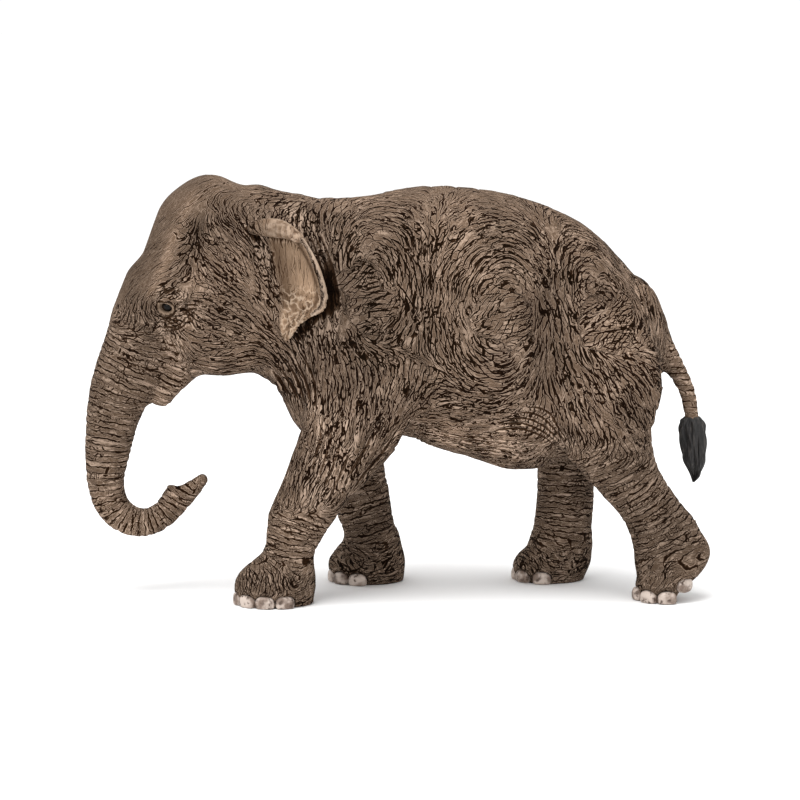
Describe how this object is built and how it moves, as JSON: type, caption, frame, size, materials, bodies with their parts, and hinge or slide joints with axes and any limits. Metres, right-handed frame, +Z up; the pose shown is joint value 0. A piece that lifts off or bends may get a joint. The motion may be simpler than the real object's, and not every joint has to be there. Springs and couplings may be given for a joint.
{
  "type": "toy elephant figure",
  "caption": "Moulded and hand-painted toy Asian elephant cow in a walking stance, trunk curled forward at the tip, standing by itself on flat soles.",
  "frame": {"origin": "on the ground under the middle of the figure's bounding box", "axes": "+Z up; +X from head to tail, so the elephant faces -X; its left side is towards -Y"},
  "size_m": [0.1341, 0.044, 0.0894],
  "materials": {
    "hide": "matte moulded plastic painted grey-brown, dark wash in the wrinkles, ridges dry-brushed pale",
    "ear": "matte paint, light tan inner face with a pale rim",
    "nail": "matte cream paint with a dark wash in its pits",
    "eye": "glossy near-black paint",
    "hair": "matte charcoal paint on moulded strands"
  },
  "bodies": {
    "root": {"torso": "hide", "neck": "hide", "head": "hide", "lower_jaw": "hide", "ear_left": "ear", "ear_right": "ear", "eye_left": "eye", "eye_right": "eye", "trunk_upper": "hide", "trunk_middle": "hide", "trunk_tip": "hide", "leg_front_left": "hide", "foot_front_left": "hide", "leg_front_right": "hide", "foot_front_right": "hide", "leg_hind_left": "hide", "foot_hind_left": "hide", "leg_hind_right": "hide", "foot_hind_right": "hide", "nail_front_left_1": "nail", "nail_front_left_2": "nail", "nail_front_left_3": "nail", "nail_front_left_4": "nail", "nail_front_left_5": "nail", "nail_front_right_1": "nail", "nail_front_right_2": "nail", "nail_front_right_3": "nail", "nail_front_right_4": "nail", "nail_front_right_5": "nail", "nail_hind_left_1": "nail", "nail_hind_left_2": "nail", "nail_hind_left_3": "nail", "nail_hind_left_4": "nail", "nail_hind_right_1": "nail", "nail_hind_right_2": "nail", "nail_hind_right_3": "nail", "nail_hind_right_4": "nail", "tail": "hide", "tail_tuft": "hair"}
  },
  "joints": []
}
